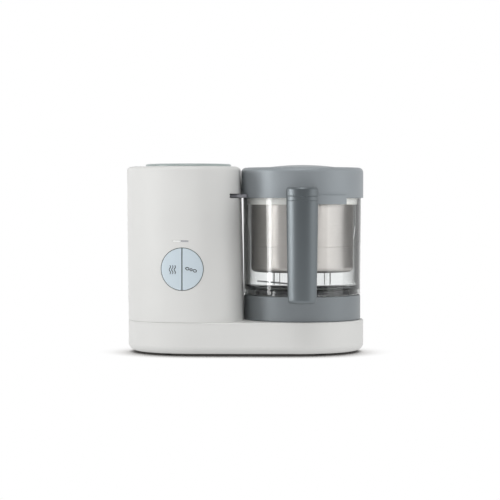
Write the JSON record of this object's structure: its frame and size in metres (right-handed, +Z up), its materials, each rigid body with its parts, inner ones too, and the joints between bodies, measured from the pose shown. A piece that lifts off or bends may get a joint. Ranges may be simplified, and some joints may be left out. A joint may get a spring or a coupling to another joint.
{
  "type": "baby food maker",
  "caption": "Countertop baby food maker: a boiler and motor tower beside a lidded glass bowl with a steam basket, a belt-driven blade, a grey handle and half-round buttons.",
  "frame": {"origin": "on the floor, below the middle of the whole outline", "axes": "+Z up, +X from the tower to the bowl, the user in front at -Y"},
  "size_m": [0.2898, 0.2032, 0.2294],
  "materials": {
    "white_shell": "satin white moulded shell",
    "white_inner": "plain white moulding",
    "grey_lid": "soft grey moulding",
    "grey_handle": "soft grey grip",
    "grey_collar": "soft grey moulding",
    "pale_button": "pale blue-grey button",
    "tank_cap": "blue-grey cap",
    "cream_rim": "cream moulding",
    "dark_plastic": "dark inner moulding",
    "lever_grey": "grey lever",
    "foot_rubber": "black rubber",
    "seal_rubber": "pale silicone",
    "belt_rubber": "ribbed black belt",
    "clear_glass": "thick clear glass",
    "steel": "brushed stainless steel",
    "polished_steel": "ground steel",
    "blade_steel": "ground blade steel",
    "zinc_steel": "zinc-plated steel",
    "cast_aluminium": "cast aluminium",
    "bronze": "sintered bronze",
    "board": "green circuit board",
    "light_on": "pale indicator lens",
    "light_off": "dark indicator lens"
  },
  "bodies": {
    "machine": {"base_shell": "white_shell", "bottom_cover": "white_inner", "feet": "foot_rubber", "deck_plate": "white_shell", "cord_inlet": "dark_plastic", "tower_housing": "white_shell", "interlock_switch": "dark_plastic", "boiler_tank": "steel", "boiler_gasket": "seal_rubber", "heating_plate": "cast_aluminium", "thermostat": "dark_plastic", "steam_pipe": "seal_rubber", "steam_outlet_seal": "seal_rubber", "button_frame": "dark_plastic", "control_board": "board", "push_switches": "dark_plastic", "steam_light": "light_on", "blend_light": "light_off", "motor_can": "zinc_steel", "motor_plate": "zinc_steel", "bearing_housing": "cast_aluminium", "upper_bearing": "polished_steel", "lower_bearing": "polished_steel", "drive_belt": "belt_rubber", "bowl_seat": "white_inner"},
    "motor_rotor": {"motor_shaft": "polished_steel", "motor_pulley": "cast_aluminium"},
    "spindle": {"drive_spindle": "polished_steel", "driven_pulley": "cast_aluminium", "drive_dog": "dark_plastic"},
    "tank_lid": {"tank_lid": "tank_cap", "tank_lid_seal": "seal_rubber"},
    "steam_button": {"steam_button": "pale_button"},
    "blend_button": {"blend_button": "pale_button"},
    "interlock_lever": {"interlock_lever": "lever_grey"},
    "bowl_base": {"bowl_collar": "grey_collar", "bowl_gasket": "seal_rubber", "neck_ring": "dark_plastic", "blade_bush": "bronze", "blade_seal": "seal_rubber"},
    "blade": {"blade_shaft": "polished_steel", "driven_coupling": "dark_plastic", "blade_hub": "dark_plastic", "lower_blade": "blade_steel", "blade_spacer": "dark_plastic", "upper_blade": "blade_steel", "blade_nut": "polished_steel"},
    "bowl": {"bowl_glass": "clear_glass", "handle_grip": "grey_handle", "handle_band": "grey_handle", "handle_cap": "grey_handle"},
    "basket": {"steam_basket": "steel", "basket_rim": "cream_rim"},
    "lid": {"bowl_lid": "grey_lid", "lid_seal": "seal_rubber", "steam_diffuser": "cream_rim"}
  },
  "joints": [
    {"name": "motor_spin", "type": "hinge", "parent": "machine", "child": "motor_rotor", "pos_m": [-0.072, 0.0176, 0.06], "axis": [0, 0, 1], "continuous": true},
    {"name": "spindle_spin", "type": "hinge", "parent": "machine", "child": "spindle", "pos_m": [0.0691, 0.0176, 0.03], "axis": [0, 0, 1], "continuous": true},
    {"name": "tank_lid_lift", "type": "slide", "parent": "machine", "child": "tank_lid", "axis": [0, 0, 1], "range_m": [0, 0.06]},
    {"name": "steam_press", "type": "slide", "parent": "machine", "child": "steam_button", "axis": [0, 1, 0], "range_m": [0, 0.002], "stiffness_N_per_m": 900},
    {"name": "blend_press", "type": "slide", "parent": "machine", "child": "blend_button", "axis": [0, 1, 0], "range_m": [0, 0.002], "stiffness_N_per_m": 900},
    {"name": "lever_swing", "type": "hinge", "parent": "machine", "child": "interlock_lever", "pos_m": [-0.025, -0.0229, 0.19], "axis": [0, 0, 1], "range_deg": [-12, 0], "stiffness_Nm_per_rad": 0.05},
    {"name": "bowl_lift", "type": "slide", "parent": "machine", "child": "bowl_base", "axis": [0, 0, 1], "range_m": [0, 0.12]},
    {"name": "blade_spin", "type": "hinge", "parent": "bowl_base", "child": "blade", "pos_m": [0.0691, 0.0176, 0.07], "axis": [0, 0, 1], "continuous": true},
    {"name": "bowl_unscrew", "type": "hinge", "parent": "bowl_base", "child": "bowl", "pos_m": [0.0691, 0.0176, 0.08], "axis": [0, 0, 1], "range_deg": [0, 60]},
    {"name": "basket_lift", "type": "slide", "parent": "bowl", "child": "basket", "axis": [0, 0, 1], "range_m": [0, 0.12]},
    {"name": "lid_lift", "type": "slide", "parent": "basket", "child": "lid", "axis": [0, 0, 1], "range_m": [0, 0.1]}
  ],
  "couplings": [
    {"joint": "spindle_spin", "follows": "motor_spin", "ratio": 0.5},
    {"joint": "blade_spin", "follows": "motor_spin", "ratio": 0.5}
  ]
}
